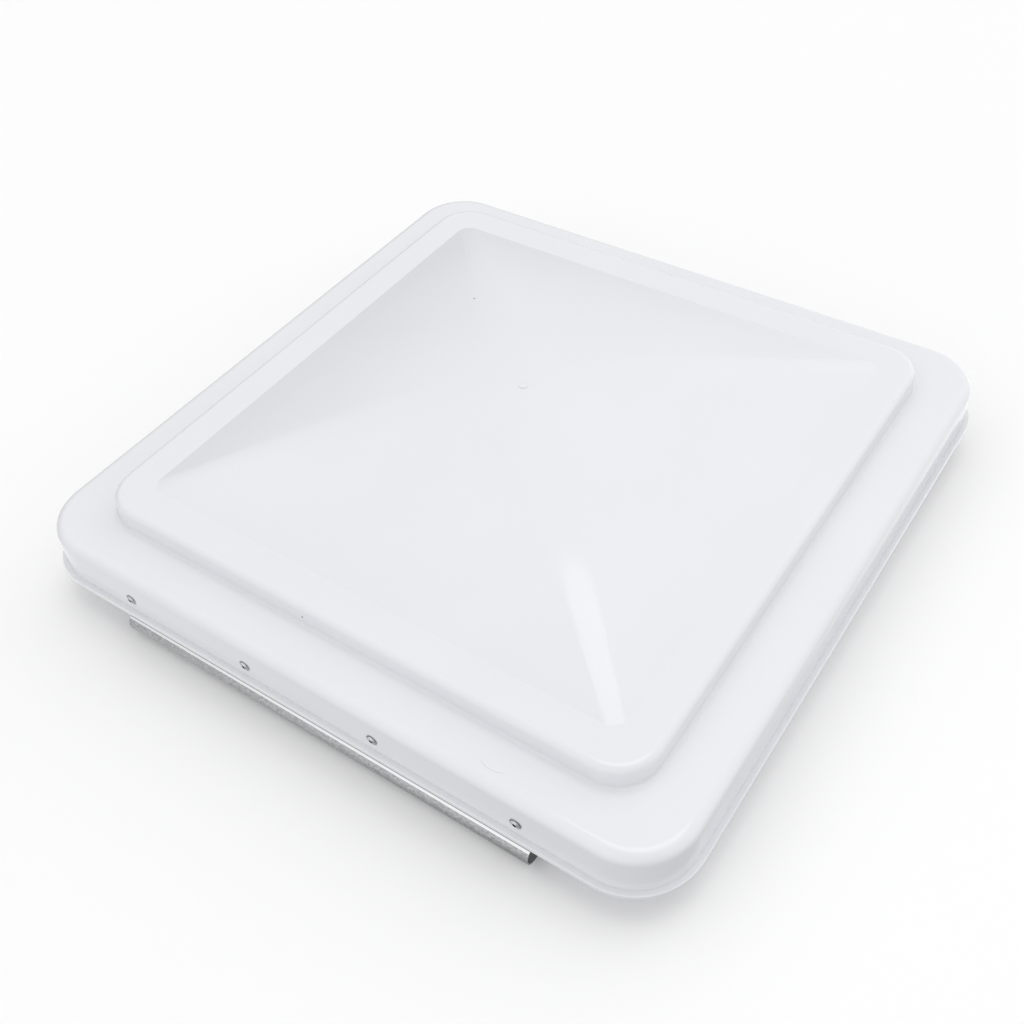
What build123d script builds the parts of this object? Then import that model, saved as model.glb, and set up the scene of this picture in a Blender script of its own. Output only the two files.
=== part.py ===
from build123d import *
import math
import os

# Roof vent cover: a moulded lid, the hinge strip riveted inside its skirt, the hinge rail that
# the strip turns on, and the track under the lid that a crank arm pushes against.
# Millimetres, +Z up. X runs along the hinge, which is on the -Y side. The origin is under the
# middle of the lid, level with the lowest point of the hinge.

# Lid outline. Insets are measured inwards from the edge of the lip.
LID_SIDE = 400.0
LID_EXTRA_WIDTH = 3.0  # the lid is this much wider along the hinge than across it
LIP_CORNER_RADIUS = 36.0
LIP_HEIGHT = 2.5
LIP_EDGE_RADIUS = 0.6
SKIRT_BASE_INSET = 3.1
SKIRT_TOP_INSET = 3.5
SKIRT_INNER_INSET = 5.7
RIM_HEIGHT = 28.5
RIM_EDGE_RADIUS = 6.0

# Raised step and dome
STEP_SIDE = 339.2
STEP_CORNER_RADIUS = 23.5
STEP_HEIGHT = 12.5
STEP_DRAFT = 1.0
STEP_EDGE_RADIUS = 4.0
STEP_FOOT_RADIUS = 1.5
DOME_SIDE = 296.0
DOME_HEIGHT = 28.5
DOME_CURVE = 1.8
DOME_ROUNDNESS_AT_FOOT = 0.055
DOME_ROUNDNESS_AT_APEX = 0.95
DOME_ROUNDING = 2.0
DOME_SECTIONS = (1.0, 0.9, 0.78, 0.64, 0.5, 0.36, 0.22, 0.12, 0.04)
WALL = 2.4
STEP_INNER_RADIUS = 1.6
GATE_RADIUS = 2.5
GATE_HEIGHT = 0.4

# Hinge: a steel strip curled round the bead of the rail
HINGE_LENGTH = 262.0
HINGE_INSET = 7.5
HINGE_DROP = 13.0
CURL_RADIUS = 7.5
STRIP_THICKNESS = 0.7
STRIP_TOP = 20.0
STRIP_BEND_RADIUS = 1.8
CURL_END_ANGLE = 300.0
BEAD_RADIUS = 6.5
RAIL_THICKNESS = 1.6
RAIL_JOG = 3.8
RAIL_JOG_START = 10.0
RAIL_JOG_END = 16.0
RAIL_TOP = 34.5
RAIL_BEND_RADIUS = 1.2
RAIL_HOLE_RADIUS = 2.25
RAIL_HOLE_HEIGHT = 27.0
RAIL_HOLE_PITCHES = (0.75, 1.25)  # each side of the middle, in rivet pitches

# Blind rivets through the skirt and the strip
RIVET_PITCH = 82.55
RIVET_COUNT = 4
RIVET_HEIGHT = 10.5
RIVET_SEAT_INSET = 3.35
RIVET_SEAT_RADIUS = 3.6
RIVET_HEAD_RADIUS = 3.2
RIVET_HEAD_HEIGHT = 1.2
RIVET_SHANK_RADIUS = 1.6
RIVET_BORE_RADIUS = 1.05
RIVET_TAIL_RADIUS = 2.4
RIVET_TAIL_LENGTH = 3.0
MANDREL_STEM_RADIUS = 1.0
MANDREL_HEAD_RADIUS = 1.5
MANDREL_HEAD_HEIGHT = 0.8
MANDREL_RECESS = 0.9
RIVET_DOME_RADIUS = 5.6
RIVET_RIM_HEIGHT = 0.35
HOLE_CLEARANCE = 0.05

# Lift-arm track, held to bosses under the lid by screws at its two ends
TRACK_CENTRE_Y = 155.0
TRACK_LENGTH = 150.0
TRACK_TAB = 28.0
TRACK_WIDTH = 18.0
TRACK_DEPTH = 9.0
TRACK_LIP = 3.0
TRACK_SHEET = 1.2
TRACK_BEND_RADIUS = 1.6
BOSS_RADIUS = 4.5
BOSS_HEIGHT = 4.0
PILOT_DEPTH = 5.0
SCREW_X = (82.0, 96.0)
SCREW_SHANK_RADIUS = 1.9
SCREW_LENGTH = 5.6
SCREW_HEAD_RADIUS = 3.5
SCREW_HEAD_HEIGHT = 2.2
SCREW_DOME_RADIUS = 5.6
SCREW_RIM_HEIGHT = 0.75
SCREW_DRIVE_WIDTH = 2.4
SCREW_DRIVE_DEPTH = 1.3

# How far a cutter runs past a face, and how near an edge counts as at a height
OVERRUN = 1.0
NEAR = 0.01

# Heights and places that follow from the sizes above
hinge_z = CURL_RADIUS
hinge_y = -LID_SIDE / 2 + HINGE_INSET
lip_z = hinge_z + HINGE_DROP
rim_z = lip_z + RIM_HEIGHT
step_z = rim_z + STEP_HEIGHT
dome_top_z = step_z + DOME_HEIGHT * (1 - DOME_SECTIONS[-1] ** DOME_CURVE)
rim_inner_radius = RIM_EDGE_RADIUS - (SKIRT_INNER_INSET - SKIRT_TOP_INSET)
rivet_z = lip_z + RIVET_HEIGHT
rivet_xs = [(i - (RIVET_COUNT - 1) / 2) * RIVET_PITCH for i in range(RIVET_COUNT)]
rail_hole_xs = [side * RIVET_PITCH * k for k in RAIL_HOLE_PITCHES for side in (-1, 1)]
seat_y = -LID_SIDE / 2 + RIVET_SEAT_INSET
strip_inner_y = -LID_SIDE / 2 + SKIRT_INNER_INSET + STRIP_THICKNESS
rivet_grip = strip_inner_y - seat_y
boss_z = step_z - WALL - BOSS_HEIGHT
screw_xs = [side * x for x in SCREW_X for side in (-1, 1)]


def rounded_square(side, radius, height, extra_width=0):
    """A square with round corners, lying flat at a height."""
    return Pos(0, 0, height) * RectangleRounded(side + extra_width, side, radius)


def drafted_block(outline, height, draft):
    """A block up from an outline, whose walls lean in by draft over its height."""
    return extrude(outline, height, taper=math.degrees(math.atan2(draft, height)))


def top_edges(solid):
    """The edges round a block's top face."""
    return solid.faces().sort_by(Axis.Z)[-1].edges()


def dome(drop):
    """The four-sided dome: faces that flatten and ridges that fade towards the apex.

    Each section is a share of the foot's side, and its corner radius is a share of half its own.
    """
    sections = []
    for share in DOME_SECTIONS:
        height = step_z + DOME_HEIGHT * (1 - share**DOME_CURVE) - drop
        gain = DOME_ROUNDNESS_AT_APEX - DOME_ROUNDNESS_AT_FOOT
        roundness = DOME_ROUNDNESS_AT_FOOT + gain * (1 - share) ** DOME_ROUNDING
        side = DOME_SIDE * share
        sections.append(rounded_square(side, roundness * side / 2, height))
    return loft(sections)


def turned(outline, place):
    """A solid turned from half its outline, drawn as (radius, distance along the place's axis)."""
    return place * revolve(Plane.XZ * make_face(outline), Axis.Z)


def inward(x):
    """The plane on a rivet's seat, with its axis pointing into the lid."""
    return Plane(origin=(x, seat_y, rivet_z), x_dir=(1, 0, 0), z_dir=(0, 1, 0))


def rivet_hole(x):
    """The cutter for one rivet's hole, through skirt and strip."""
    cutter = extrude(Circle(RIVET_SHANK_RADIUS + HOLE_CLEARANCE), 2 * SKIRT_INNER_INSET)
    return inward(x) * Pos(0, 0, -OVERRUN) * cutter


def along_hinge(face):
    """A section drawn about the hinge axis, with Y across and Z up, extruded along the hinge."""
    bar = extrude(Plane.YZ * face, HINGE_LENGTH / 2, both=True)
    return Pos(0, hinge_y, hinge_z) * bar


def lid_outline(inset, height):
    """The lid's outline, drawn in from the edge of the lip by an inset, at a height."""
    side = LID_SIDE - 2 * inset
    return rounded_square(side, LIP_CORNER_RADIUS - inset, height, LID_EXTRA_WIDTH)


def outer_body():
    """The lid's outside as one solid: lip, skirt, rim, step and dome."""
    lip = extrude(lid_outline(0, lip_z), LIP_HEIGHT)
    lip = fillet(top_edges(lip), LIP_EDGE_RADIUS)
    skirt_draft = SKIRT_TOP_INSET - SKIRT_BASE_INSET
    skirt = drafted_block(lid_outline(SKIRT_BASE_INSET, lip_z), RIM_HEIGHT, skirt_draft)
    skirt = fillet(top_edges(skirt), RIM_EDGE_RADIUS)
    step_foot = rounded_square(STEP_SIDE, STEP_CORNER_RADIUS, rim_z)
    step = drafted_block(step_foot, STEP_HEIGHT, STEP_DRAFT)
    step = fillet(top_edges(step), STEP_EDGE_RADIUS)
    body = lip + skirt + step
    reach = STEP_SIDE / 2 + NEAR
    foot = [
        edge
        for edge in body.edges().filter_by_position(Axis.Z, rim_z - NEAR, rim_z + NEAR)
        if abs(edge.center().X) < reach and abs(edge.center().Y) < reach
    ]
    return fillet(foot, STEP_FOOT_RADIUS) + dome(0)


def inner_void():
    """The hollow under the lid, one wall thickness inside the outside."""
    mouth = lid_outline(SKIRT_INNER_INSET, lip_z - OVERRUN)
    under_rim = extrude(mouth, RIM_HEIGHT - WALL + OVERRUN)
    under_rim = fillet(top_edges(under_rim), rim_inner_radius)
    side = STEP_SIDE - 2 * WALL
    step_mouth = rounded_square(side, STEP_CORNER_RADIUS - WALL, rim_z - WALL - OVERRUN)
    under_step = drafted_block(step_mouth, STEP_HEIGHT + OVERRUN, STEP_DRAFT)
    under_step = fillet(top_edges(under_step), STEP_INNER_RADIUS)
    return under_rim + under_step + dome(WALL)


def lid_shell():
    """The moulded lid with its gate mark, rivet seats and screw bosses."""
    shell = outer_body() - inner_void()
    shell += Pos(0, 0, dome_top_z) * extrude(Circle(GATE_RADIUS), GATE_HEIGHT, both=True)
    for x in rivet_xs:
        shell -= inward(x) * extrude(Circle(RIVET_SEAT_RADIUS), -SKIRT_TOP_INSET)
        shell -= rivet_hole(x)
    for x in screw_xs:
        foot = Pos(x, TRACK_CENTRE_Y, boss_z)
        shell += foot * extrude(Circle(BOSS_RADIUS), BOSS_HEIGHT)
        shell -= foot * extrude(Circle(SCREW_SHANK_RADIUS + HOLE_CLEARANCE), PILOT_DEPTH)
    return shell


def hinge_strip():
    """Steel strip: a leaf up the inside of the skirt, bent out and curled round the bead."""
    half = STRIP_THICKNESS / 2
    leaf_y = SKIRT_INNER_INSET + half - HINGE_INSET
    leaf_top = HINGE_DROP + STRIP_TOP
    curl_radius = CURL_RADIUS - half
    bend_y = leaf_y - STRIP_BEND_RADIUS
    bend_z = math.sqrt((curl_radius + STRIP_BEND_RADIUS) ** 2 - bend_y**2)
    join_angle = math.degrees(math.atan2(bend_z, bend_y))
    edges = []
    for offset in (-half, half):
        edges += [
            Line((leaf_y + offset, leaf_top), (leaf_y + offset, bend_z)),
            CenterArc((bend_y, bend_z), STRIP_BEND_RADIUS + offset, 0, join_angle - 180),
            CenterArc((0, 0), curl_radius - offset, join_angle, CURL_END_ANGLE - join_angle),
        ]
    edges.append(Line((leaf_y - half, leaf_top), (leaf_y + half, leaf_top)))
    edges.append(Line(edges[2] @ 1, edges[5] @ 1))
    strip = along_hinge(make_face(edges))
    for x in rivet_xs:
        strip -= rivet_hole(x)
    return strip


def hinge_rail():
    """Black rail: a round bead for the curl, and a flange that screws to the vent's upstand."""
    jog_angle = math.atan2(RAIL_JOG, RAIL_JOG_END - RAIL_JOG_START)
    drop = RAIL_THICKNESS * math.tan(jog_angle / 2)
    flange = make_face(
        Polyline(
            (0, 0),
            (0, RAIL_JOG_START),
            (RAIL_JOG, RAIL_JOG_END),
            (RAIL_JOG, RAIL_TOP),
            (RAIL_JOG + RAIL_THICKNESS, RAIL_TOP),
            (RAIL_JOG + RAIL_THICKNESS, RAIL_JOG_END - drop),
            (RAIL_THICKNESS, RAIL_JOG_START - drop),
            (RAIL_THICKNESS, 0),
            close=True,
        )
    )
    bends = flange.vertices().filter_by_position(
        Axis.Y, RAIL_JOG_START - RAIL_THICKNESS, RAIL_JOG_END + RAIL_THICKNESS
    )
    rail = along_hinge(fillet(bends, RAIL_BEND_RADIUS) + Circle(BEAD_RADIUS))
    for x in rail_hole_xs:
        hole = Plane(origin=(x, hinge_y, hinge_z + RAIL_HOLE_HEIGHT), z_dir=(0, 1, 0))
        rail -= hole * extrude(Circle(RAIL_HOLE_RADIUS), 2 * RAIL_JOG)
    return rail


def rivet(x):
    """A blind rivet's body: domed head outside, swelled tail behind the strip."""
    tail_end = rivet_grip + RIVET_TAIL_LENGTH
    outline = [
        RadiusArc(
            (RIVET_BORE_RADIUS, -RIVET_HEAD_HEIGHT),
            (RIVET_HEAD_RADIUS, -RIVET_RIM_HEIGHT),
            RIVET_DOME_RADIUS,
        ),
        Polyline(
            (RIVET_HEAD_RADIUS, -RIVET_RIM_HEIGHT),
            (RIVET_HEAD_RADIUS, 0),
            (RIVET_SHANK_RADIUS, 0),
            (RIVET_SHANK_RADIUS, rivet_grip),
            (RIVET_TAIL_RADIUS, rivet_grip),
            (RIVET_TAIL_RADIUS, rivet_grip + RIVET_TAIL_LENGTH / 2),
            (RIVET_SHANK_RADIUS, tail_end),
            (RIVET_BORE_RADIUS, tail_end),
            (RIVET_BORE_RADIUS, -RIVET_HEAD_HEIGHT),
        ),
    ]
    return turned(outline, inward(x))


def rivet_mandrel(x):
    """The snapped pin that stays in a blind rivet, its head against the end of the tail."""
    tail_end = rivet_grip + RIVET_TAIL_LENGTH
    outline = Polyline(
        (0, MANDREL_RECESS - RIVET_HEAD_HEIGHT),
        (MANDREL_STEM_RADIUS, MANDREL_RECESS - RIVET_HEAD_HEIGHT),
        (MANDREL_STEM_RADIUS, tail_end),
        (MANDREL_HEAD_RADIUS, tail_end),
        (MANDREL_HEAD_RADIUS / 2, tail_end + MANDREL_HEAD_HEIGHT),
        (0, tail_end + MANDREL_HEAD_HEIGHT),
        close=True,
    )
    return turned(outline, inward(x))


def lift_track():
    """Steel channel, open downwards, with a flat tab and two screw holes at each end."""
    middle = Pos(0, TRACK_CENTRE_Y, boss_z - TRACK_DEPTH / 2)
    outer = RectangleRounded(TRACK_WIDTH, TRACK_DEPTH, TRACK_BEND_RADIUS)
    hollow = RectangleRounded(
        TRACK_WIDTH - 2 * TRACK_SHEET,
        TRACK_DEPTH - 2 * TRACK_SHEET,
        TRACK_BEND_RADIUS - TRACK_SHEET,
    )
    slot = Pos(0, -TRACK_DEPTH / 2) * Rectangle(TRACK_WIDTH - 2 * TRACK_LIP, TRACK_DEPTH / 2)
    section = Plane.YZ * (outer - hollow - slot)
    track = middle * extrude(section, TRACK_LENGTH / 2, both=True)
    tab_width = TRACK_WIDTH - 2 * TRACK_BEND_RADIUS
    tab_centre = (TRACK_LENGTH + TRACK_TAB) / 2
    for side in (-1, 1):
        tab = Box(TRACK_TAB, tab_width, TRACK_SHEET)
        track += Pos(side * tab_centre, TRACK_CENTRE_Y, boss_z - TRACK_SHEET / 2) * tab
    for x in screw_xs:
        hole = extrude(Circle(SCREW_SHANK_RADIUS + 2 * HOLE_CLEARANCE), -2 * TRACK_SHEET)
        track -= Pos(x, TRACK_CENTRE_Y, boss_z) * hole
    return track


def track_screw(x):
    """A pan-head screw driven up through a tab into its boss."""
    outline = [
        RadiusArc(
            (0, -SCREW_HEAD_HEIGHT), (SCREW_HEAD_RADIUS, -SCREW_RIM_HEIGHT), SCREW_DOME_RADIUS
        ),
        Polyline(
            (SCREW_HEAD_RADIUS, -SCREW_RIM_HEIGHT),
            (SCREW_HEAD_RADIUS, 0),
            (SCREW_SHANK_RADIUS, 0),
            (SCREW_SHANK_RADIUS, SCREW_LENGTH - SCREW_SHANK_RADIUS / 2),
            (SCREW_SHANK_RADIUS / 2, SCREW_LENGTH),
            (0, SCREW_LENGTH),
            (0, -SCREW_HEAD_HEIGHT),
        ),
    ]
    place = Pos(x, TRACK_CENTRE_Y, boss_z - TRACK_SHEET)
    drive = Box(SCREW_DRIVE_WIDTH, SCREW_DRIVE_WIDTH, 2 * SCREW_DRIVE_DEPTH)
    return turned(outline, place) - place * Pos(0, 0, -SCREW_HEAD_HEIGHT) * drive


parts = {
    "lid_shell": lid_shell(),
    "hinge_strip": hinge_strip(),
    "hinge_rail": hinge_rail(),
    "lift_track": lift_track(),
}
for number, x in enumerate(rivet_xs, start=1):
    parts[f"hinge_rivet_{number}"] = rivet(x)
    parts[f"rivet_mandrel_{number}"] = rivet_mandrel(x)
for number, x in enumerate(sorted(screw_xs), start=1):
    parts[f"track_screw_{number}"] = track_screw(x)

os.makedirs("parts", exist_ok=True)
for name, part in parts.items():
    export_step(part, f"parts/{name}.step")
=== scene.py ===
import math

import bpy
from mathutils import Matrix, Vector


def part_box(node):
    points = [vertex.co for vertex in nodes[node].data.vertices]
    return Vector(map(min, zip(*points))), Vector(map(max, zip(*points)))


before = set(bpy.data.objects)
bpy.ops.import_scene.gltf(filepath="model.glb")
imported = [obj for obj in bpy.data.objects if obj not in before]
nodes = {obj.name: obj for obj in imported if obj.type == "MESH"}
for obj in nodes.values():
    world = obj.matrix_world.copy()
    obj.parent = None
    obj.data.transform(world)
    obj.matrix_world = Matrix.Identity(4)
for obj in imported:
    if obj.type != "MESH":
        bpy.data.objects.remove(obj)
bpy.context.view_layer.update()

# The roof vent cover: the white lid, its riveted hinge and the rail that it turns on.
# Metres throughout, in the frame of the CAD model.

# Camera: where it looks from, and how far the lid's centre is from the middle of the picture
CAMERA_AZIMUTH = math.radians(37.2)
CAMERA_ELEVATION = math.radians(46.0)
CAMERA_ROLL = math.radians(-4.3)
CAMERA_DISTANCE = 0.7023
CAMERA_OFFSET_ACROSS = -0.0099
CAMERA_OFFSET_UP = -0.0210
FOCAL_LENGTH_MM = 42.0
SENSOR_MM = 36.0

FLOOR_SIZE = 6.0
FLOOR_COLOUR = (0.92, 0.92, 0.92, 1)
FLOOR_ROUGHNESS = 0.9

# Light: an even white surround, with patches that are brighter or darker. Each patch is its
# azimuth and elevation in degrees, the angles where it is full and gone, its strength, and how
# far it is flattened towards the horizon (1 for a round one).
SURROUND_LIGHT = 1.25
LIGHT_PATCHES = {
    "soft box overhead": ((78, 81), 17, 19, 1.4, 1),
    "dim at the front right": ((335, 51), 19, 62, -0.55, 1),
    "dark below the camera": ((322, -59), 23, 77, -0.85, 1),
    "dark at the left": ((168, 2), 26, 87, -1.0, 3),
    "fill from the front": ((250, 0), 15, 60, 0.15, 3),
}

# Marks on the lid, in metres in the model's frame
SPECKS = {
    "on the step's side": ((-0.0213, -0.1691, 0.0540), 0.0010),
    "on the dome": ((-0.0773, 0.0611, 0.0814), 0.0012),
}
ARC_MARK_CENTRE = (0.1056, -0.1766, 0.0490)
ARC_MARK_RADIUS = 0.0118
ARC_MARK_HALF_WIDTH = 0.00035
ARC_MARK_BACK_Y = -0.1860
ARC_MARK_FADE = 0.001
ARC_MARK_COLOUR = (0.64, 0.65, 0.68)
SPECK_COLOUR = (0.12, 0.12, 0.13)

# A painted highlight along the top of the hinge curl, by height in metres, with painted shade on all
# of the strip above it
HIGHLIGHT_BAND_BOTTOM = 0.0122
HIGHLIGHT_BAND_TOP = 0.0132
BAND_EDGE = 0.0002
PAINTED_HIGHLIGHT_ZINC = (0.76, 0.77, 0.78)
PAINTED_SHADE_ZINC = (0.10, 0.10, 0.10)

# The ring of painted shade and painted dark reflection on a rivet's head: radii as shares of its
# width, heights as shares of its height
SHADE_RING_START = (0.38, 0.43)
SHADE_RING_END = (0.47, 0.50)
SHADE_RING_HEIGHTS = (0.35, 0.75)
LEAST_SHADE = 0.15
PAINTED_SHADE_COLOUR = (0.07, 0.07, 0.075)


def new_material(name):
    """A material with a Principled shader, as (material, node tree, shader)."""
    material = bpy.data.materials.new(name)
    material.use_nodes = True
    tree = material.node_tree
    return material, tree, tree.nodes["Principled BSDF"]


def noise(tree, scale, stretch=(1, 1, 1), detail=3.0):
    """Noise over the object's own coordinates, with features 1/scale metres across."""
    coordinates = tree.nodes.new("ShaderNodeTexCoord")
    mapping = tree.nodes.new("ShaderNodeMapping")
    mapping.inputs["Scale"].default_value = stretch
    texture = tree.nodes.new("ShaderNodeTexNoise")
    texture.inputs["Scale"].default_value = scale
    texture.inputs["Detail"].default_value = detail
    tree.links.new(coordinates.outputs["Object"], mapping.inputs["Vector"])
    tree.links.new(mapping.outputs["Vector"], texture.inputs["Vector"])
    return texture.outputs["Fac"]


def ramp(tree, factor, stops):
    """A colour ramp on a factor, from (position, colour) stops."""
    node = tree.nodes.new("ShaderNodeValToRGB")
    elements = node.color_ramp.elements
    for element, (position, colour) in zip(elements, (stops[0], stops[-1])):
        element.position = position
        element.color = (*colour, 1)
    for position, colour in stops[1:-1]:
        elements.new(position).color = (*colour, 1)
    tree.links.new(factor, node.inputs["Fac"])
    return node.outputs["Color"]


def remap(tree, factor, low, high):
    """The factor 0.3 to 0.7, where most noise lies, stretched over low to high."""
    node = tree.nodes.new("ShaderNodeMapRange")
    node.inputs["From Min"].default_value = 0.3
    node.inputs["From Max"].default_value = 0.7
    node.inputs["To Min"].default_value = low
    node.inputs["To Max"].default_value = high
    tree.links.new(factor, node.inputs["Value"])
    return node.outputs["Result"]


def math_node(tree, operation, *values):
    """A math node on values that are numbers or other nodes' outputs."""
    node = tree.nodes.new("ShaderNodeMath")
    node.operation = operation
    for socket, value in zip(node.inputs, values):
        if isinstance(value, (int, float)):
            socket.default_value = value
        else:
            tree.links.new(value, socket)
    return node.outputs["Value"]


def smooth_step(tree, value, start, end, low, high):
    """low up to start, high from end, and a smooth change between them."""
    node = tree.nodes.new("ShaderNodeMapRange")
    node.interpolation_type = "SMOOTHSTEP"
    for name, number in (("From Min", start), ("From Max", end), ("To Min", low), ("To Max", high)):
        node.inputs[name].default_value = number
    tree.links.new(value, node.inputs["Value"])
    return node.outputs["Result"]


def bump(tree, shader, height, distance):
    """A bump of the given depth in metres on the shader's normal."""
    node = tree.nodes.new("ShaderNodeBump")
    node.inputs["Distance"].default_value = distance
    tree.links.new(height, node.inputs["Height"])
    tree.links.new(node.outputs["Normal"], shader.inputs["Normal"])


def mixed(tree, factor, first, second):
    """The first colour where the factor is 0 and the second where it is 1."""
    node = tree.nodes.new("ShaderNodeMix")
    node.data_type = "RGBA"
    for socket, value in ((node.inputs[0], factor), (node.inputs[6], first), (node.inputs[7], second)):
        if isinstance(value, tuple):
            socket.default_value = (*value, 1)
        else:
            tree.links.new(value, socket)
    return node.outputs[2]


def object_place(tree):
    """The object's own coordinates, as (vector, X, Y, Z)."""
    place = tree.nodes.new("ShaderNodeTexCoord").outputs["Object"]
    parts = tree.nodes.new("ShaderNodeSeparateXYZ")
    tree.links.new(place, parts.inputs["Vector"])
    return place, *parts.outputs


def distance_from(tree, place, point):
    """The distance from a point, in the units of the place."""
    node = tree.nodes.new("ShaderNodeVectorMath")
    node.operation = "DISTANCE"
    tree.links.new(place, node.inputs[0])
    node.inputs[1].default_value = point
    return node.outputs["Value"]


def lid_marks(tree, colour):
    """The lid's colour with its specks and a short, faint darker arc."""
    place, _, y, _ = object_place(tree)
    # A faint darker arc on the rim: a thin ring, cut off towards the back
    ring = distance_from(tree, place, ARC_MARK_CENTRE)
    ring = math_node(tree, "ABSOLUTE", math_node(tree, "SUBTRACT", ring, ARC_MARK_RADIUS))
    ring = smooth_step(tree, ring, 0, ARC_MARK_HALF_WIDTH, 1, 0)
    front = smooth_step(tree, y, ARC_MARK_BACK_Y - ARC_MARK_FADE, ARC_MARK_BACK_Y, 1, 0)
    colour = mixed(tree, math_node(tree, "MULTIPLY", ring, front), colour, ARC_MARK_COLOUR)
    for centre, radius in SPECKS.values():
        distance = distance_from(tree, place, centre)
        speck = smooth_step(tree, distance, 0, radius, 1, 0)
        colour = mixed(tree, speck, colour, SPECK_COLOUR)
    return colour


def lid_plastic():
    """White moulded polypropylene: even colour, satin, with a faint flow texture."""
    material, tree, shader = new_material("lid_plastic")
    cloud = noise(tree, 14.0)
    colour = ramp(tree, cloud, [(0.35, (0.768, 0.775, 0.805)), (0.65, (0.778, 0.785, 0.815))])
    tree.links.new(lid_marks(tree, colour), shader.inputs["Base Color"])
    tree.links.new(remap(tree, noise(tree, 60.0), 0.08, 0.12), shader.inputs["Roughness"])
    shader.inputs["IOR"].default_value = 1.49
    bump(tree, shader, noise(tree, 1500.0), 0.000004)
    return material


def galvanised_steel(name, painted_highlight_and_shade=False):
    """Zinc coated strip with short streaks along X, and perhaps a painted highlight along the curl's
    top with painted shade on the strip above it.
    """
    material, tree, shader = new_material(name)
    streaks = noise(tree, 2600.0, stretch=(0.25, 1, 1), detail=6.0)
    colour = ramp(tree, streaks, [(0.36, (0.24, 0.245, 0.25)), (0.64, (0.50, 0.51, 0.52))])
    if painted_highlight_and_shade:
        # Painted light: a highlight band along the curl's top, and painted shade on everything higher
        # on the strip
        height = object_place(tree)[3]
        for start, tone in ((HIGHLIGHT_BAND_BOTTOM, PAINTED_HIGHLIGHT_ZINC), (HIGHLIGHT_BAND_TOP, PAINTED_SHADE_ZINC)):
            above = smooth_step(tree, height, start, start + BAND_EDGE, 0, 1)
            colour = mixed(tree, above, colour, tone)
    tree.links.new(colour, shader.inputs["Base Color"])
    tree.links.new(remap(tree, streaks, 0.28, 0.45), shader.inputs["Roughness"])
    shader.inputs["Metallic"].default_value = 1.0
    bump(tree, shader, streaks, 0.00004)
    return material


def rivet_aluminium():
    """Dull aluminium, with a ring of painted shade and dark reflection round the dome that is darkest
    at the top.
    """
    material, tree, shader = new_material("aluminium")
    across = tree.nodes.new("ShaderNodeVectorMath")
    across.operation = "MULTIPLY"
    across.inputs[1].default_value = (1, 0, 1)
    tree.links.new(tree.nodes.new("ShaderNodeTexCoord").outputs["Generated"], across.inputs[0])
    radius = distance_from(tree, across.outputs["Vector"], (0.5, 0, 0.5))
    mottle = noise(tree, 1200.0)
    metal = ramp(tree, mottle, [(0.3, (0.50, 0.50, 0.51)), (0.7, (0.66, 0.66, 0.67))])
    # Painted shade and dark reflection: a dark ring round the head's dome, strongest towards its top
    inner = smooth_step(tree, radius, *SHADE_RING_START, 0, 1)
    outer = smooth_step(tree, radius, *SHADE_RING_END, 1, 0)
    painted_shade = math_node(tree, "MULTIPLY", inner, outer)
    height = tree.nodes.new("ShaderNodeSeparateXYZ")
    tree.links.new(across.outputs["Vector"], height.inputs["Vector"])
    top = smooth_step(tree, height.outputs["Z"], *SHADE_RING_HEIGHTS, LEAST_SHADE, 1)
    painted_shade = math_node(tree, "MULTIPLY", painted_shade, top)
    tree.links.new(mixed(tree, painted_shade, metal, PAINTED_SHADE_COLOUR), shader.inputs["Base Color"])
    tree.links.new(remap(tree, mottle, 0.28, 0.42), shader.inputs["Roughness"])
    shader.inputs["Metallic"].default_value = 1.0
    bump(tree, shader, mottle, 0.00003)
    return material


def plain_metal(name, dark, light, roughness):
    """A small metal part with mottled colour and gloss."""
    material, tree, shader = new_material(name)
    mottle = noise(tree, 1200.0)
    tree.links.new(ramp(tree, mottle, [(0.3, dark), (0.7, light)]), shader.inputs["Base Color"])
    gloss = remap(tree, mottle, roughness, roughness + 0.15)
    tree.links.new(gloss, shader.inputs["Roughness"])
    shader.inputs["Metallic"].default_value = 1.0
    bump(tree, shader, mottle, 0.00003)
    return material


def black_plastic():
    """Extruded black plastic with faint die lines along X."""
    material, tree, shader = new_material("rail_plastic")
    lines = noise(tree, 1500.0, stretch=(0.02, 1, 1))
    colour = ramp(tree, lines, [(0.3, (0.018, 0.018, 0.02)), (0.7, (0.035, 0.035, 0.038))])
    tree.links.new(colour, shader.inputs["Base Color"])
    tree.links.new(remap(tree, lines, 0.45, 0.6), shader.inputs["Roughness"])
    bump(tree, shader, lines, 0.00004)
    return material


def paint(prefix, material):
    """Gives a material to every CAD node whose name starts with the prefix."""
    for name, node in nodes.items():
        if name.startswith(prefix):
            node.data.materials.clear()
            node.data.materials.append(material)


def add_camera():
    """The camera at the picture's viewing angle, aimed by its distance and offsets."""
    forward = Vector((
        -math.cos(CAMERA_ELEVATION) * math.sin(CAMERA_AZIMUTH),
        math.cos(CAMERA_ELEVATION) * math.cos(CAMERA_AZIMUTH),
        -math.sin(CAMERA_ELEVATION),
    ))
    level = Vector((math.cos(CAMERA_AZIMUTH), math.sin(CAMERA_AZIMUTH), 0))
    roll = Matrix.Rotation(-CAMERA_ROLL, 3, forward)
    right = roll @ level
    up = right.cross(forward)
    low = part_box("lid_shell")[0]
    place = Vector((0, 0, low.z)) - CAMERA_DISTANCE * forward
    place += CAMERA_OFFSET_ACROSS * right + CAMERA_OFFSET_UP * up
    data = bpy.data.cameras.new("camera")
    data.sensor_width = SENSOR_MM
    data.lens = FOCAL_LENGTH_MM
    camera = bpy.data.objects.new("camera", data)
    turn = Matrix((right, up, -forward)).transposed().to_4x4()
    camera.matrix_world = Matrix.Translation(place) @ turn
    bpy.context.scene.collection.objects.link(camera)
    bpy.context.scene.camera = camera


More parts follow.
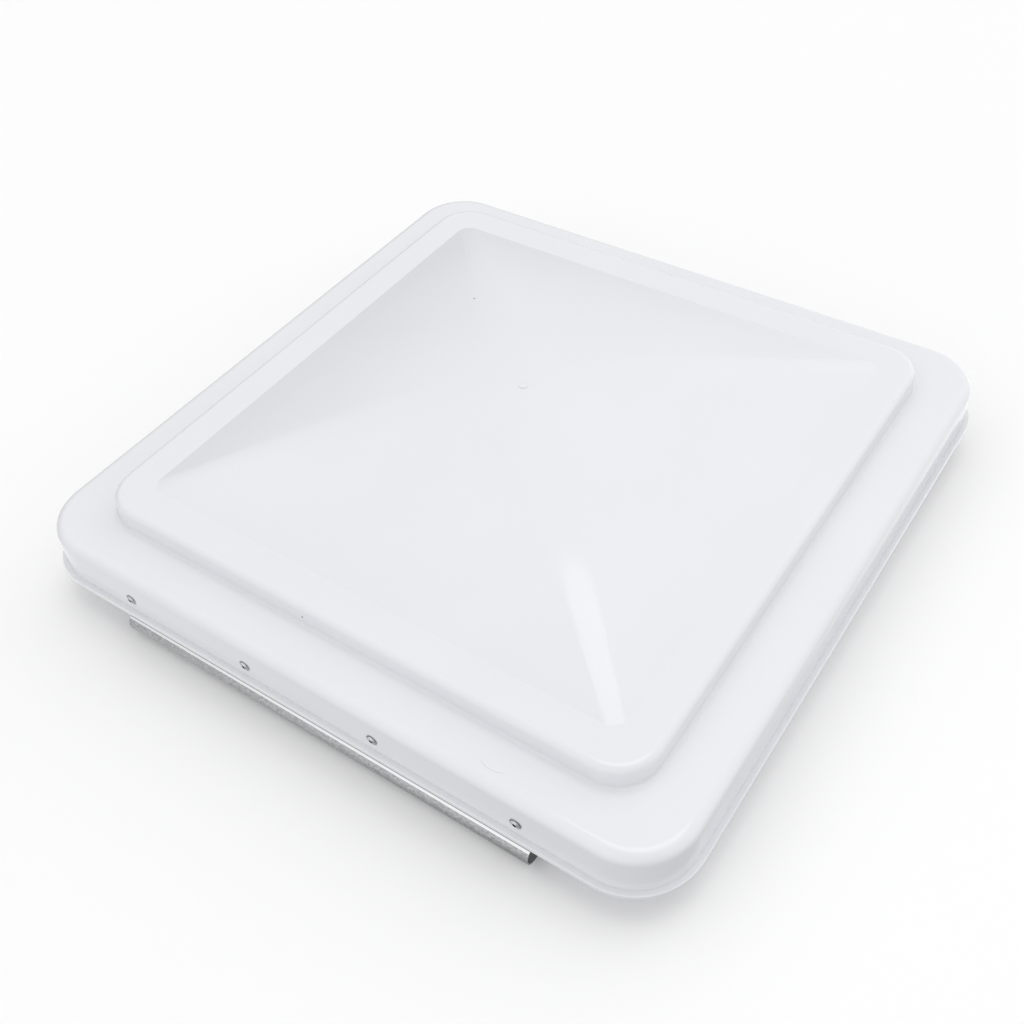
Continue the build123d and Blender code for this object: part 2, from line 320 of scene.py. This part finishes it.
def add_floor():
    """A plain white floor that the hinge just touches.

    It shows the object's shadow, but doesn't light the object or block the light from below.
    """
    mesh = bpy.data.meshes.new("floor")
    half = FLOOR_SIZE / 2
    corners = [(-half, -half, 0), (half, -half, 0), (half, half, 0), (-half, half, 0)]
    mesh.from_pydata(corners, [], [(0, 1, 2, 3)])
    floor = bpy.data.objects.new("floor", mesh)
    bpy.context.scene.collection.objects.link(floor)
    material, _, shader = new_material("floor")
    shader.inputs["Base Color"].default_value = FLOOR_COLOUR
    shader.inputs["Roughness"].default_value = FLOOR_ROUGHNESS
    mesh.materials.append(material)
    floor.visible_diffuse = False
    floor.visible_glossy = False
    floor.visible_shadow = False


def toward(azimuth, elevation):
    """The unit direction at an azimuth, counted from +X towards +Y, and an elevation, in degrees."""
    azimuth = math.radians(azimuth)
    elevation = math.radians(elevation)
    level = math.cos(elevation)
    return (level * math.cos(azimuth), level * math.sin(azimuth), math.sin(elevation))


def patch(tree, direction, centre, full, gone, strength, flatness):
    """A patch of light: its whole strength within one angle, fading out at another."""
    squash = tree.nodes.new("ShaderNodeVectorMath")
    squash.operation = "MULTIPLY"
    squash.inputs[1].default_value = (1, 1, flatness)
    tree.links.new(direction, squash.inputs[0])
    unit = tree.nodes.new("ShaderNodeVectorMath")
    unit.operation = "NORMALIZE"
    tree.links.new(squash.outputs["Vector"], unit.inputs[0])
    dot = tree.nodes.new("ShaderNodeVectorMath")
    dot.operation = "DOT_PRODUCT"
    tree.links.new(unit.outputs["Vector"], dot.inputs[0])
    dot.inputs[1].default_value = toward(*centre)
    start = math.cos(math.radians(gone))
    end = math.cos(math.radians(full))
    return smooth_step(tree, dot.outputs["Value"], start, end, 0, strength)


def light_world():
    """The surround that lights the object, plain white where the camera sees it."""
    world = bpy.data.worlds.new("studio")
    world.use_nodes = True
    tree = world.node_tree
    background = tree.nodes["Background"]
    background.inputs["Color"].default_value = (1, 1, 1, 1)
    direction = tree.nodes.new("ShaderNodeTexCoord").outputs["Generated"]
    strength = SURROUND_LIGHT
    for settings in LIGHT_PATCHES.values():
        strength = math_node(tree, "ADD", strength, patch(tree, direction, *settings))
    strength = math_node(tree, "MAXIMUM", strength, 0)
    seen = tree.nodes.new("ShaderNodeLightPath").outputs["Is Camera Ray"]
    mix = tree.nodes.new("ShaderNodeMix")
    tree.links.new(seen, mix.inputs[0])
    tree.links.new(strength, mix.inputs[2])
    mix.inputs[3].default_value = 1.0
    tree.links.new(mix.outputs[0], background.inputs["Strength"])
    bpy.context.scene.world = world


paint("lid_shell", lid_plastic())
# The hinge strip carries the painted highlight and painted shade along its curl
paint("hinge_strip", galvanised_steel("hinge_steel", painted_highlight_and_shade=True))
paint("lift_track", galvanised_steel("galvanised_steel"))
paint("hinge_rail", black_plastic())
paint("hinge_rivet", rivet_aluminium())
paint("rivet_mandrel", plain_metal("dull_steel", (0.05, 0.05, 0.055), (0.12, 0.12, 0.125), 0.4))
paint("track_screw", plain_metal("zinc_plate", (0.5, 0.5, 0.48), (0.7, 0.7, 0.68), 0.3))

add_camera()
add_floor()
light_world()
bpy.context.scene.view_settings.view_transform = "Standard"
